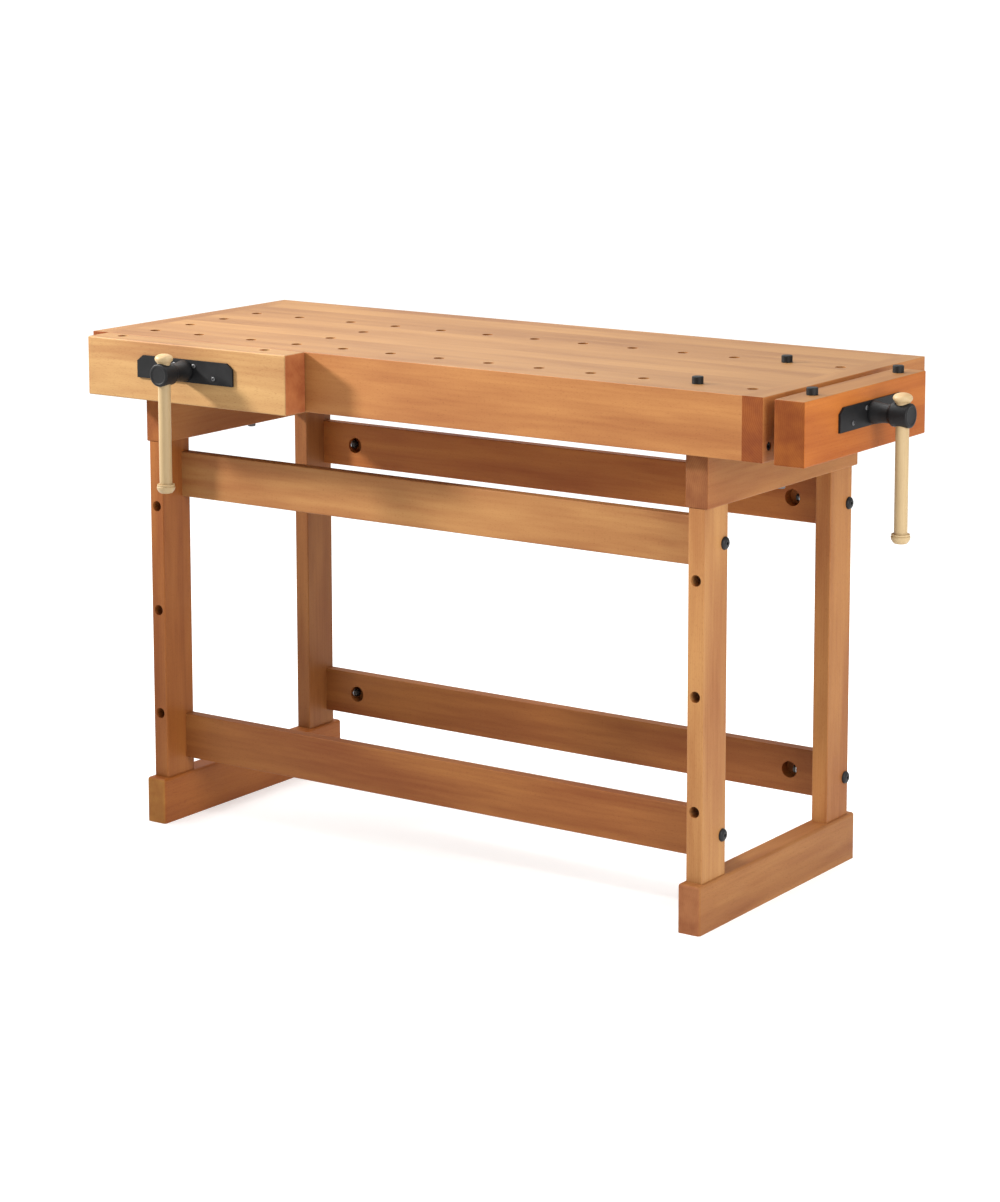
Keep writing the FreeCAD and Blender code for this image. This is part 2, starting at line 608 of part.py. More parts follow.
def build_jaw(which):
    name = which + "_jaw"
    spot, inward = vises[which]["spot"], vises[which]["in"]
    if which == "front":
        corner = ("front_jaw_left", front_jaw_face, top_under)
        extent = ("front_jaw_length", "jaw_thick", "apron_height")
        dog_y = f"{front_jaw_face} + jaw_dog_setback"
        dogs = [(left_crossing, dog_y), (right_crossing, dog_y)]
    else:
        corner = ("top_length + end_gap", "end_jaw_front", top_under)
        extent = ("jaw_thick", "end_jaw_length", "apron_height")
        dog_x = f"{end_jaw_face} - jaw_thick / 2"
        dogs = [(dog_x, dog_rows[0]), (dog_x, dog_rows[-1])]
    blank = block(name + "_blank", corner, extent)
    shaped = eased(name + "_eased", blank, "jaw_ease", on_all_edges)
    tools = []
    for along in ("-rod_offset", "rod_offset"):
        tools.append(round_bar(f"{name}_rod_bore{along[0]}", spot(along, "0"), inward,
                               "rod_dia + 2 * rod_fit", "jaw_thick"))
    tools.append(joined(name + "_screw_bore", [
        round_bar(name + "_screw_hole", spot("0", "0"), inward,
                  "screw_dia + 2 * screw_clearance", "jaw_thick"),
        round_bar(name + "_collar_recess", spot("0", "0"), inward,
                  "collar_recess_dia", "collar_recess_depth")]))
    for number, (along, up) in enumerate(plate_screws, start=1):
        tools.append(round_bar(f"{name}_pilot_{number}",
                               spot(along, "0", f"{vise_height} + {up}"), inward,
                               "plate_screw_dia", "plate_screw_length - plate_thick"))
    for number, (x, y) in enumerate(dogs, start=1):
        tools.append(round_bar(f"{name}_dog_hole_{number}", (x, y, top_under), "z",
                               "dog_hole_dia", "apron_height"))
    keep(name, cut(name, shaped, tools))


def build_vise_plate(which):
    """A flat plate with its two upper corners cut off, on the jaw's outer face."""
    name = which + "_vise_plate"
    spot, inward = vises[which]["spot"], vises[which]["in"]
    body = doc.addObject("PartDesign::Body", name + "_body")
    face = sketch_on(body, "XY_Plane", name + "_face")
    half, low, high = "plate_length / 2", "-plate_height / 2", "plate_height / 2"
    outline(face, [
        (f"-{half}", low), (half, low), (half, f"{high} - plate_corner_drop"),
        (f"{half} - plate_corner", high), (f"plate_corner - {half}", high),
        (f"-{half}", f"{high} - plate_corner_drop")])
    pad = body.newObject("PartDesign::Pad", name + "_pad")
    pad.Profile = face
    pad.setExpression("Length", formula("plate_thick"))
    place(body, spot("0", "0"))
    body.Placement.Rotation = vises[which]["plate_turn"]
    tools = [round_bar(name + "_journal_bore", spot("0", "plate_thick"), inward,
                       "journal_dia + 2 * journal_fit", "plate_thick")]
    for number, (along, up) in enumerate(plate_screws, start=1):
        tools.append(round_bar(f"{name}_screw_hole_{number}",
                               spot(along, "plate_thick", f"{vise_height} + {up}"), inward,
                               "plate_screw_dia", "plate_thick"))
    keep(name, cut(name, body, tools))


def wood_screw(name, spot, axis, size):
    """A pan-headed screw whose head sits on the spot and whose shank runs along the axis."""
    return turned(name, [
        ("0", f"-{size}_height"), (f"{size}_dia / 2", f"-{size}_height"), (f"{size}_dia / 2", "0"),
        (f"{screw_shank[size]}_dia / 2", "0"),
        (f"{screw_shank[size]}_dia / 2", f"{screw_shank[size]}_length - {screw_shank[size]}_dia / 2"),
        ("0", f"{screw_shank[size]}_length")], spot, axis)


screw_shank = {"plate_screw_head": "plate_screw", "bracket_head": "bracket_screw"}


def build_plate_screws(which):
    spot, inward = vises[which]["spot"], vises[which]["in"]
    screws = [wood_screw(f"{which}_plate_screw_{number}",
                         spot(along, "plate_thick", f"{vise_height} + {up}"), inward,
                         "plate_screw_head")
              for number, (along, up) in enumerate(plate_screws, start=1)]
    keep(which + "_plate_screws", gathered(which + "_plate_screws", screws))


def build_guide_rods(which):
    spot, inward = vises[which]["spot"], vises[which]["in"]
    for side, along in zip(vises[which]["rods"], ("-rod_offset", "rod_offset")):
        name = f"{which}_guide_rod_{side}"
        keep(name, turned(name, [
            ("0", "0"), ("rod_dia / 2", "0"), ("rod_dia / 2", "rod_length - rod_chamfer"),
            ("rod_dia / 2 - rod_chamfer", "rod_length"), ("0", "rod_length")],
            spot(along, "0"), inward))


def bracket_face(which):
    """How far in from the jaw's outer face the bracket's seat on the bench lies."""
    if which == "front":
        return "jaw_thick + jaw_rest_gap + apron_thick"
    return "jaw_thick + end_gap + cap_thick"


def build_bracket(which):
    """The cast bracket inside the bench: a flange, two guide bosses and the threaded boss."""
    name = which + "_vise_bracket"
    spot, inward = vises[which]["spot"], vises[which]["in"]
    seat = f"-({bracket_face(which)})"
    low = f"{vise_height} - bracket_below"
    height = "bracket_above + bracket_below"
    if which == "front":
        corner = spot("-plate_length / 2", seat, low)
        extent = ("plate_length", "bracket_thick", height)
    else:
        corner = spot("-plate_length / 2", f"{seat} - bracket_thick", low)
        extent = ("bracket_thick", "plate_length", height)
    solids = [block(name + "_flange", corner, extent)]
    tools = []
    for boss, along, bore in (("rod_boss", "-rod_offset", "rod_dia + 2 * rod_fit"),
                              ("rod_boss", "rod_offset", "rod_dia + 2 * rod_fit"),
                              ("nut_boss", "0", "screw_dia + 2 * nut_fit")):
        solids.append(round_bar(f"{name}_{boss}", spot(along, seat), inward,
                                f"{boss}_dia", f"{boss}_length"))
        tools.append(round_bar(f"{name}_{boss}_bore", spot(along, seat), inward, bore,
                               f"{boss}_length"))
    for number, along in enumerate(bracket_screws, start=1):
        tools.append(round_bar(f"{name}_screw_hole_{number}",
                               spot(along, seat, f"{vise_height} - bracket_screw_down"), inward,
                               "bracket_screw_dia", "bracket_thick"))
    keep(name, cut(name, joined(name + "_casting", solids), tools))
    out = vises[which]["out"]
    screws = [wood_screw(f"{which}_bracket_screw_{number}",
                         spot(along, f"{seat} - bracket_thick", f"{vise_height} - bracket_screw_down"),
                         out, "bracket_head")
              for number, along in enumerate(bracket_screws, start=1)]
    keep(which + "_bracket_screws", gathered(which + "_bracket_screws", screws))


def bracket_pilots(which):
    """Pilot holes for the bracket's screws in the apron or end cap that carries it."""
    spot, out = vises[which]["spot"], vises[which]["out"]
    return [round_bar(f"{which}_bracket_pilot_{number}",
                      spot(along, f"-({bracket_face(which)})", f"{vise_height} - bracket_screw_down"),
                      out, "bracket_screw_dia", "bracket_screw_length - bracket_thick")
            for number, along in enumerate(bracket_screws, start=1)]


def build_screw(which):
    """The lead screw: a journal through the plate, pinned in the hub, then the threaded length."""
    spot, inward = vises[which]["spot"], vises[which]["in"]
    shoulder = "collar_gap + collar_thick"
    journal_start = "-(plate_thick + hub_gap + journal_in_hub)"
    name = which + "_lead_screw"
    keep(name, turned(name, [
        ("0", journal_start), ("journal_dia / 2", journal_start), ("journal_dia / 2", shoulder),
        ("screw_dia / 2 - screw_chamfer", shoulder), ("screw_dia / 2", f"{shoulder} + screw_chamfer"),
        ("screw_dia / 2", "rod_length - screw_chamfer"),
        ("screw_dia / 2 - screw_chamfer", "rod_length"), ("0", "rod_length")],
        spot("0", "0"), inward))
    ring = round_bar(which + "_collar_blank", spot("0", "-collar_gap"), inward,
                     "collar_dia", "collar_thick")
    bore = round_bar(which + "_collar_bore", spot("0", "-collar_gap"), inward,
                     "journal_dia", "collar_thick")
    keep(which + "_screw_collar", cut(which + "_screw_collar", ring, [bore]))


def build_hub(which):
    """The casting on the screw's outer end, bored across for the handle bar."""
    spot, out = vises[which]["spot"], vises[which]["out"]
    name = which + "_hub"
    dish = "hub_length - hub_dish_depth"
    body = turned(name + "_body", [
        ("journal_dia / 2", "0"), ("hub_base_dia / 2", "0"), ("hub_base_dia / 2", "hub_base_thick"),
        ("hub_neck_dia / 2", "hub_cone_end"), ("hub_neck_dia / 2", "hub_barrel_start - hub_shoulder"),
        ("hub_barrel_dia / 2", "hub_barrel_start"), ("hub_barrel_dia / 2", "hub_length"),
        ("hub_dish_dia / 2", "hub_length"), ("hub_dish_dia / 2", dish), ("0", dish),
        ("0", "journal_in_hub"), ("journal_dia / 2", "journal_in_hub")],
        spot("0", "plate_thick + hub_gap"), out, [(6, "hub_round")])
    across = round_bar(name + "_bar_bore",
                       spot("0", bar_out, f"{vise_height} - hub_barrel_dia"), "z",
                       "bar_dia + 2 * bar_fit", "2 * hub_barrel_dia")
    keep(name, cut(name, body, [across]))


bar_out = "plate_thick + hub_gap + hub_length - bar_from_end"
knob_seat = f"{vise_height} + hub_barrel_dia / 2 + knob_rest_gap"


def build_bar(which):
    """The handle bar hangs in the hub with its upper knob on the barrel."""
    spot = vises[which]["spot"]
    name = which + "_bar"
    keep(name, turned(name, [
        ("0", "bar_tenon_length"), ("bar_tenon_dia / 2", "bar_tenon_length"),
        ("bar_tenon_dia / 2", "0"), ("bar_dia / 2", "0"), ("bar_dia / 2", "-bar_span"),
        ("bar_tenon_dia / 2", "-bar_span"), ("bar_tenon_dia / 2", "-bar_span - bar_tenon_length"),
        ("0", "-bar_span - bar_tenon_length")], spot("0", bar_out, knob_seat), "z"))
    knobs = []
    for end, axis, height in (("top", "z", knob_seat), ("bottom", "-z", f"{knob_seat} - bar_span")):
        knobs.append(turned(f"{name}_knob_{end}", [
            ("bar_tenon_dia / 2", "0"), ("knob_dia / 2", "0"), ("knob_dia / 2", "knob_height"),
            ("0", "knob_height"), ("0", "bar_tenon_length"),
            ("bar_tenon_dia / 2", "bar_tenon_length")],
            spot("0", bar_out, height), axis, [(1, "knob_round"), (2, "knob_round")]))
    keep(name + "_knobs", gathered(name + "_knobs", knobs))


# ---------------------------------------------------------------- bench dogs
jaw_dog_x = f"{end_jaw_face} - jaw_thick / 2"
dogs = {"dog_front": (dog_column, dog_rows[0]), "dog_back": (dog_column, dog_rows[-1]),
        "jaw_dog_front": (jaw_dog_x, dog_rows[0]), "jaw_dog_back": (jaw_dog_x, dog_rows[-1])}


def build_dog(name, x, y):
    """A round dog with a leaf spring in a slot down its side, which grips the wall of the hole."""
    head = "bench_height + dog_proud"
    radius = "dog_hole_dia / 2 - dog_fit"
    body = turned(name + "_body", [
        ("0", "0"), (f"{radius} - dog_chamfer", "0"), (radius, "-dog_chamfer"),
        (radius, "dog_chamfer - dog_length"), (f"{radius} - dog_chamfer", "-dog_length"),
        ("0", "-dog_length")], (x, y, head), "z")
    slot_left = f"{x} + {radius} - spring_slot_depth"
    slot_low = f"{head} - spring_slot_drop - spring_slot_length"
    slot = block(name + "_slot", (slot_left, f"{y} - spring_slot_width / 2", slot_low),
                 ("2 * spring_slot_depth", "spring_slot_width", "spring_slot_length"))
    keep(name, cut(name, body, [slot]))
    spring_low = f"{slot_low} + (spring_slot_length - spring_length) / 2"
    keep(name + "_spring", block(name + "_spring",
                                 (slot_left, f"{y} - spring_width / 2", spring_low),
                                 ("spring_thick", "spring_width", "spring_length")))


# ---------------------------------------------------------------- assembly
def build_everything():
    build_panel()
    build_apron("front", "0", "apron_thick", "-y")
    build_apron("back", "top_depth - apron_thick", "top_depth - apron_thick", "y")
    for side in ("left", "right"):
        build_cap(side)
        build_batten(side)
        build_foot(side)
        build_bearer(side)
        for row in ("front", "back"):
            build_leg(row, side)
    build_cap_fixings()
    build_bearer_fixings()
    for row, level in stretcher_rows:
        build_stretcher(row, level)
    build_stretcher_fixings()
    for which in vises:
        build_jaw(which)
        build_vise_plate(which)
        build_plate_screws(which)
        build_guide_rods(which)
        build_bracket(which)
        build_screw(which)
        build_hub(which)
        build_bar(which)
    for node, carrier in (("front", "front_apron"), ("end", "end_cap_right")):
        drilled = cut(carrier + "_drilled", parts[carrier], bracket_pilots(node))
        parts[carrier].Label = carrier + "_bored"
        keep(carrier, drilled)
    for name, (x, y) in dogs.items():
        build_dog(name, x, y)


def check_everything():
    failed = [item.Label for item in doc.Objects if {"Invalid", "Error"} & set(item.State)]
    if failed:
        raise RuntimeError(f"failed objects: {failed}")
    for node, item in parts.items():
        if item.Shape.isNull() or not item.Shape.isValid() or not item.Shape.Solids:
            raise RuntimeError(f"bad shape: {node}")


def write_everything():
    os.makedirs("parts", exist_ok=True)
    for node, item in parts.items():
        item.Shape.exportStep(f"parts/{node}.step")
    print(len(parts), "nodes,", sum(len(item.Shape.Solids) for item in parts.values()), "solids")


build_everything()
doc.recompute()
check_everything()
write_everything()
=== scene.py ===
import bpy
import bmesh
import math
from mathutils import Matrix, Vector


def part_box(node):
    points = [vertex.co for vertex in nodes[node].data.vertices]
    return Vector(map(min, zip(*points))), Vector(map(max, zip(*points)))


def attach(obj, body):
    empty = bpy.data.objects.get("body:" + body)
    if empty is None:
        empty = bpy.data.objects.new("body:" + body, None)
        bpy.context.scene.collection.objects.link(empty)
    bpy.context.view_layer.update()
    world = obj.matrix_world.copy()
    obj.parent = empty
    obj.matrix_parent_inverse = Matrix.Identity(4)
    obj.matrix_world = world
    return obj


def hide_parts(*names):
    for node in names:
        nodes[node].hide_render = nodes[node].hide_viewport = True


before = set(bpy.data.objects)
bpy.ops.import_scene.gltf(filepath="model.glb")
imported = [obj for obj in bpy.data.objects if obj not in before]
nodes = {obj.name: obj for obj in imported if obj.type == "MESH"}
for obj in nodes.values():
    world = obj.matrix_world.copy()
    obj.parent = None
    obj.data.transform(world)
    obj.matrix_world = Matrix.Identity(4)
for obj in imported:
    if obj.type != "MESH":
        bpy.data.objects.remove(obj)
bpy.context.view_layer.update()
mm = 0.001
print("frame loaded:", len(nodes), "nodes")


class Socket:
    # wraps a node's output, so that shader maths reads as plain expressions
    def __init__(self, paint, source):
        self.paint, self.source = paint, source

    def maths(self, operation, *values):
        settings = {"operation": operation}
        return self.paint.make("Math", settings, dict(enumerate(values)))

    def __add__(self, other):
        return self.maths("ADD", self, other)

    def __radd__(self, other):
        return self.maths("ADD", other, self)

    def __sub__(self, other):
        return self.maths("SUBTRACT", self, other)

    def __rsub__(self, other):
        return self.maths("SUBTRACT", other, self)

    def __mul__(self, other):
        return self.maths("MULTIPLY", self, other)

    def __rmul__(self, other):
        return self.maths("MULTIPLY", other, self)

    def __truediv__(self, other):
        return self.maths("DIVIDE", self, other)

    def __rtruediv__(self, other):
        return self.maths("DIVIDE", other, self)

    def __pow__(self, other):
        return self.maths("POWER", self, other)

    def __abs__(self):
        return self.maths("ABSOLUTE", self)

    def floor(self):
        return self.maths("FLOOR", self)

    def between(self, low, high, toLow=0.0, toHigh=1.0, kind="SMOOTHSTEP"):
        settings = {"interpolation_type": kind}
        inputs = {0: self, 1: low, 2: high, 3: toLow, 4: toHigh}
        return self.paint.make("MapRange", settings, inputs)


class Paint:
    # the nodes of a material or a world; make() adds any node and gives back one of its outputs
    def __init__(self, owner):
        self.owner = owner
        owner.use_nodes = True
        self.tree = owner.node_tree
        self.tree.nodes.clear()

    def make(self, kind, settings=None, inputs=None, output=0):
        node = self.tree.nodes.new("ShaderNode" + kind)
        for key, value in (settings or {}).items():
            setattr(node, key, value)
        for key, value in (inputs or {}).items():
            if isinstance(value, Socket):
                self.tree.links.new(value.source, node.inputs[key])
            else:
                node.inputs[key].default_value = value
        return Socket(self, node.outputs[output]) if node.outputs else None

    def mix(self, factor, first, second, how="MIX"):
        first, second = ((*c, 1.0) if isinstance(c, tuple) else c for c in (first, second))
        settings = {"data_type": "RGBA", "blend_type": how}
        return self.make("Mix", settings, {0: factor, 6: first, 7: second}, 2)

    def axes(self, vector):
        parts = self.make("SeparateXYZ", None, {0: vector})
        outputs = parts.source.node.outputs
        return [Socket(self, outputs[number]) for number in range(3)]

    def noise(self, vector, scale, detail=2.0, roughness=0.5):
        inputs = {"Vector": vector, "Scale": scale, "Detail": detail, "Roughness": roughness}
        return self.make("TexNoise", None, inputs)

    def finish(self, fixed, changing, bump=None, bumpDistance=0.0, bumpStrength=1.0):
        shader = self.make("BsdfPrincipled", None, {**fixed, **changing})
        if bump is not None:
            inputs = {"Height": bump, "Distance": bumpDistance, "Strength": bumpStrength}
            normal = self.make("Bump", None, inputs)
            self.tree.links.new(normal.source, shader.source.node.inputs["Normal"])
        self.make("OutputMaterial", None, {"Surface": shader})
        return self.owner


# what all the beech on the bench shares; colours are linear
beech = {
    "light": (0.395, 0.184, 0.058), "dark": (0.228, 0.074, 0.0200), "endTint": (0.53, 0.28, 0.045),
    "fleckTint": (0.62, 0.50, 0.42), "ringWidth": 0.0036, "ringWobble": 0.010,
    "figure": 0.36, "streaks": 0.34, "clouds": 0.20, "rings": 0.07, "flecks": 0.40, "fibres": 0.12,
    "roughness": 0.50, "coat": 0.03, "coatRoughness": 0.32, "specular": 0.22, "ior": 1.45,
    # upward faces take their own colour: painted shade, darker than the rest, with a paler painted sheen;
    # upwardCoat adds coat there
    "upShadeAndSheen": 0.0, "upShadeSheenLight": (0.281, 0.147, 0.050), "upShadeSheenDark": (0.150, 0.063, 0.0172),
    "upwardCoat": 0.0, "relief": 0.00012, "reliefStrength": 0.35,
}
# patterns in the wood: change per metre along and across the grain, start, detail, roughness,
# and the part of the noise that is drawn out to full contrast
patterns = {
    "wobble": (3.0, 6.0, 0.0, 3.0, 0.5, None),
    "figure": (2.6, 15.0, 7.7, 3.0, 0.5, (0.38, 0.64)),
    "streak": (3.2, 46.0, 0.0, 4.0, 0.6, (0.28, 0.72)),
    "fibre": (22.0, 900.0, 0.0, 2.0, 0.6, None),
    "fleck": (190.0, 1300.0, 0.0, 0.0, 0.5, (0.66, 0.74)),
    "cloud": (2.4, 5.0, 3.3, 2.0, 0.5, (0.3, 0.7)),
}
# in a glued panel: share of the wood's own figure, of the strips' tone and of the glue lines, and a lift
gluedUp = {"figure": 0.66, "strips": 0.50, "lines": 0.40, "lift": -0.08}
# each board: grain direction, seed, tone, reddish shift, glued strip width, how much its end grain is tinted;
# tone and reddish shift are partly the board's own colour and partly painted shade, darker and redder mostly
# on the boards low down and at the left, where the bench lies in shade
boards = {
    "top_panel": ("X", 11, 0.92, -0.03, 0.058, 0.6),
    "front_apron": ("X", 23, 0.97, 0.05, 0, 1.0),
    "back_apron": ("X", 31, 0.96, 0.05, 0, 1.0),
    "end_cap_left": ("Y", 43, 0.98, 0.08, 0, 1.0),
    "end_cap_right": ("Y", 47, 0.98, 0.08, 0, 1.0),
    "front_jaw": ("X", 59, 1.10, -0.31, 0, 0.8),
    "end_jaw": ("Y", 61, 1.01, 0.29, 0, 1.0),
    "cross_batten_left": ("Y", 67, 0.95, 0.02, 0, 0.62),
    "cross_batten_right": ("Y", 71, 0.95, 0.02, 0, 0.62),
    "foot_left": ("Y", 73, 0.81, 0.28, 0, 0.5),
    "foot_right": ("Y", 79, 0.85, 0.04, 0, 0.34),
    "bearer_left": ("Y", 83, 0.91, 0.10, 0, 0.62),
    "bearer_right": ("Y", 89, 0.95, 0.05, 0, 0.56),
    "leg_front_left": ("Z", 97, 0.78, 0.23, 0, 0.62),
    "leg_front_right": ("Z", 101, 1.08, -0.11, 0, 0.62),
    "leg_back_left": ("Z", 103, 0.70, 0.13, 0, 0.62),
    "leg_back_right": ("Z", 107, 0.98, 0.02, 0, 0.62),
    "stretcher_front_upper": ("X", 109, 0.96, -0.08, 0, 0.62),
    "stretcher_front_lower": ("X", 113, 0.77, 0.16, 0, 0.62),
    "stretcher_back_upper": ("X", 127, 0.98, 0.21, 0, 0.62),
    "stretcher_back_lower": ("X", 131, 0.70, 0.18, 0, 0.62),
}


def woodPaint(name, middle, grain, seed, tone, red, strip, endDepth, wood):
    paint = Paint(bpy.data.materials.new(name))
    place = paint.make("TexCoord", None, None, "Object")
    facing = paint.make("TexCoord", None, None, "Normal")
    order = {"X": (0, 1, 2), "Y": (1, 0, 2), "Z": (2, 0, 1)}[grain]
    spots, normals = paint.axes(place), paint.axes(facing)
    along = spots[order[0]]
    across, up = (spots[number] - middle[number] for number in order[1:])
    endGrain = abs(normals[order[0]]).between(0.55, 0.85)

    chance, glueLine = 0.137 * (seed % 7), 0.0
    if strip:      # a glued panel changes from strip to strip
        stripes = across / strip + 20.0
        stripe = {"W": stripes.floor() + seed * 1.7}
        chance = paint.axes(paint.make("TexWhiteNoise", {"noise_dimensions": "1D"}, stripe, 1))[0]
        glueLine = abs(stripes - stripes.floor() - 0.5).between(0.485, 0.496)

    def pattern(which):
        lengthwise, sideways, start, detail, roughness, window = patterns[which]
        spot = {0: along * lengthwise + (seed * 3.1 + start), 1: (across + chance) * sideways,
                2: up * sideways}
        noise = paint.noise(paint.make("CombineXYZ", None, spot), 1.0, detail, roughness)
        return noise.between(*window) if window else noise

    # each board has the middle of its tree a hand's breadth to one side
    swing = (0.9 * ((seed * 37) % 10) / 10 - 0.45) + (math.pi if seed % 2 else 0.0)
    reach = 0.085 + 0.07 * ((seed * 53) % 10) / 10
    fromHeart = across + (reach * math.cos(swing) + chance * 0.04)
    depth = up + reach * math.sin(swing)
    radius = (fromHeart * fromHeart + depth * depth) ** 0.5 + pattern("wobble") * wood["ringWobble"]
    ring = paint.make("Math", {"operation": "SINE"}, {0: radius * (2 * math.pi / wood["ringWidth"])})
    ring = (ring * 0.5 + 0.5) ** 2.0

    # broad figure, long streaks, fine fibres, the short dark flecks of beech and soft clouds
    figure, streak, fibre, fleck, cloud = (
        pattern(which) for which in ("figure", "streak", "fibre", "fleck", "cloud"))
    shade = (figure * wood["figure"] + streak * wood["streaks"] + ring * wood["rings"]
             + cloud * wood["clouds"] + fibre * wood["fibres"])
    if strip:
        shade = (shade * gluedUp["figure"] + chance * gluedUp["strips"]
                 + glueLine * gluedUp["lines"] + gluedUp["lift"])
    shade = shade.between(0.0, 1.0, 0.0, 1.0, "LINEAR")
    hue = (tone, tone * (1 - red), tone * (1 - 2 * red))
    light, dark = (tuple(value * part for value, part in zip(wood[end], hue)) for end in ("light", "dark"))
    colour = paint.mix(shade, light, dark)
    flecked = paint.mix(fleck * wood["flecks"] * (1.0 - endGrain), colour, wood["fleckTint"], "MULTIPLY")
    skyward = normals[2].between(0.6, 0.9)      # upward faces get painted shade and a paler painted sheen in their colour, and more coat
    pale = paint.mix(shade, wood["upShadeSheenLight"], wood["upShadeSheenDark"])
    upShadeAndSheen = paint.mix(skyward * wood["upShadeAndSheen"], flecked, pale)
    tinted = paint.mix(endGrain * endDepth * (0.86 + ring * 0.14), upShadeAndSheen, wood["endTint"], "MULTIPLY")
    changing = {"Base Color": tinted, "Roughness": wood["roughness"] + fibre * 0.10 + endGrain * 0.14,
                "Coat Weight": (1.0 - endGrain) * wood["coat"] + skyward * wood["upwardCoat"]}
    fixed = {"Coat Roughness": wood["coatRoughness"], "IOR": wood["ior"],
             "Specular IOR Level": wood["specular"]}
    relief = fibre * 0.6 + ring * 0.2 - fleck * 0.5
    return paint.finish(fixed, changing, relief, wood["relief"], wood["reliefStrength"])


# pale turned hardwood of the handle bars and knobs
birch = dict(beech, light=(0.455, 0.345, 0.195), dark=(0.345, 0.24, 0.12), endTint=(0.86, 0.76, 0.66),
             figure=0.2, streaks=0.42, rings=0.10, flecks=0.15, ringWidth=0.0024,
             roughness=0.40, coat=0.10, specular=0.3)


black = {"smudges": 28.0, "wear": 0.5, "specular": 0.19, "bump": 0.5}


def blackPaint(name, colour, roughness, grainSize, bumpDepth):
    # satin black paint or moulding over a slightly uneven skin
    paint = Paint(bpy.data.materials.new(name))
    place = paint.make("TexCoord", None, None, "Object")
    skin = paint.noise(place, grainSize, 3.0, 0.6)
    smudge = paint.noise(place, black["smudges"], 3.0)
    worn = tuple(value * 2.0 + 0.002 for value in colour)
    changing = {"Base Color": paint.mix(smudge.between(0.35, 0.8) * black["wear"], colour, worn),
                "Roughness": roughness + smudge * 0.12 + skin * 0.06}
    return paint.finish({"Specular IOR Level": black["specular"]}, changing, skin, bumpDepth, black["bump"])


steel = {"grain": 420.0, "drawnAlong": 30.0, "drawnAcross": 1400.0, "film": 40.0, "dull": 0.62,
         "bumpDepth": 0.00003, "bump": 0.3}


def steelPaint(name, colour, roughness, axis=None):
    # drawn or plated steel; the marks of drawing run along the axis, when one is given
    paint = Paint(bpy.data.materials.new(name))
    place = paint.make("TexCoord", None, None, "Object")
    scales = [steel["grain"]] * 3
    if axis:
        scales = [steel["drawnAlong"] if letter == axis else steel["drawnAcross"] for letter in "XYZ"]
    stretched = {number: spot * scales[number] for number, spot in enumerate(paint.axes(place))}
    lines = paint.noise(paint.make("CombineXYZ", None, stretched), 1.0, 2.0, 0.6)
    film = paint.noise(place, steel["film"], 3.0)
    dull = tuple(value * steel["dull"] for value in colour)
    changing = {"Base Color": paint.mix(film.between(0.35, 0.75) * 0.6, colour, dull),
                "Roughness": roughness + lines * 0.14 + film * 0.10}
    return paint.finish({"Metallic": 1.0}, changing, lines, steel["bumpDepth"], steel["bump"])


centre = (0, 0, 0)
finishes = {
    "cast": blackPaint("castBlack", (0.0070, 0.0070, 0.0075), 0.38, 900.0, 0.00010),
    "plate": blackPaint("plateBlack", (0.0058, 0.0058, 0.0064), 0.38, 1600.0, 0.00004),
    "bolt": blackPaint("boltBlack", (0.012, 0.012, 0.013), 0.30, 1800.0, 0.00002),
    "dog": blackPaint("dogBlack", (0.010, 0.010, 0.010), 0.42, 1200.0, 0.00005),
    "zinc": steelPaint("zincSteel", (0.56, 0.56, 0.58), 0.30),
    "darkSteel": steelPaint("darkSteel", (0.15, 0.15, 0.155), 0.36),
    # the nuts: a darker, rougher steel than the dark steel
    "darkerNut": steelPaint("darkerNutSteel", (0.075, 0.072, 0.068), 0.52),
    "screw": steelPaint("screwSteel", (0.42, 0.41, 0.40), 0.26),
    "spring": steelPaint("springSteel", (0.34, 0.35, 0.38), 0.22, "Z"),
    "rodY": steelPaint("rodSteelY", (0.52, 0.52, 0.53), 0.22, "Y"),
    "rodX": steelPaint("rodSteelX", (0.52, 0.52, 0.53), 0.22, "X"),
    "birch": woodPaint("birchZ", centre, "Z", 5, 1.0, 0.0, 0, 0.8, birch),
    "dowelX": woodPaint("dowelBeechX", centre, "X", 7, 1.05, -0.04, 0, 0.6, beech),
    "dowelZ": woodPaint("dowelBeechZ", centre, "Z", 7, 1.05, -0.04, 0, 0.6, beech),
}
print("finishes mixed:", len(finishes))


def coat(piece, material):
    piece.data.materials.clear()
    piece.data.materials.append(material)


# the work-top boards: upward faces with painted shade and a paler painted sheen in their colour, and more
# coat
workTop = dict(beech, upShadeAndSheen=0.85, upwardCoat=0.16, coat=0.04, specular=0.26)
workTopBoards = ("top_panel", "front_apron", "back_apron", "end_cap_left", "end_cap_right",
                 "front_jaw", "end_jaw")
# boards whose end grain or gloss differs from the others'
ownTouches = {
    "front_jaw": {"endTint": (0.86, 0.34, 0.23)},
    "end_jaw": {"endTint": (0.55, 0.47, 0.34), "specular": 0.17, "coat": 0.0},
    "bearer_right": {"endTint": (0.32, 0.16, 0.24)},
    "foot_left": {"endTint": (1.27, 2.15, 2.7)},
    "foot_right": {"endTint": (0.90, 0.68, 1.5)},
}
for node, look in boards.items():
    low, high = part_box(node)
    wood = {**(workTop if node in workTopBoards else beech), **ownTouches.get(node, {})}
    coat(nodes[node], woodPaint(node, (low + high) / 2, *look, wood))
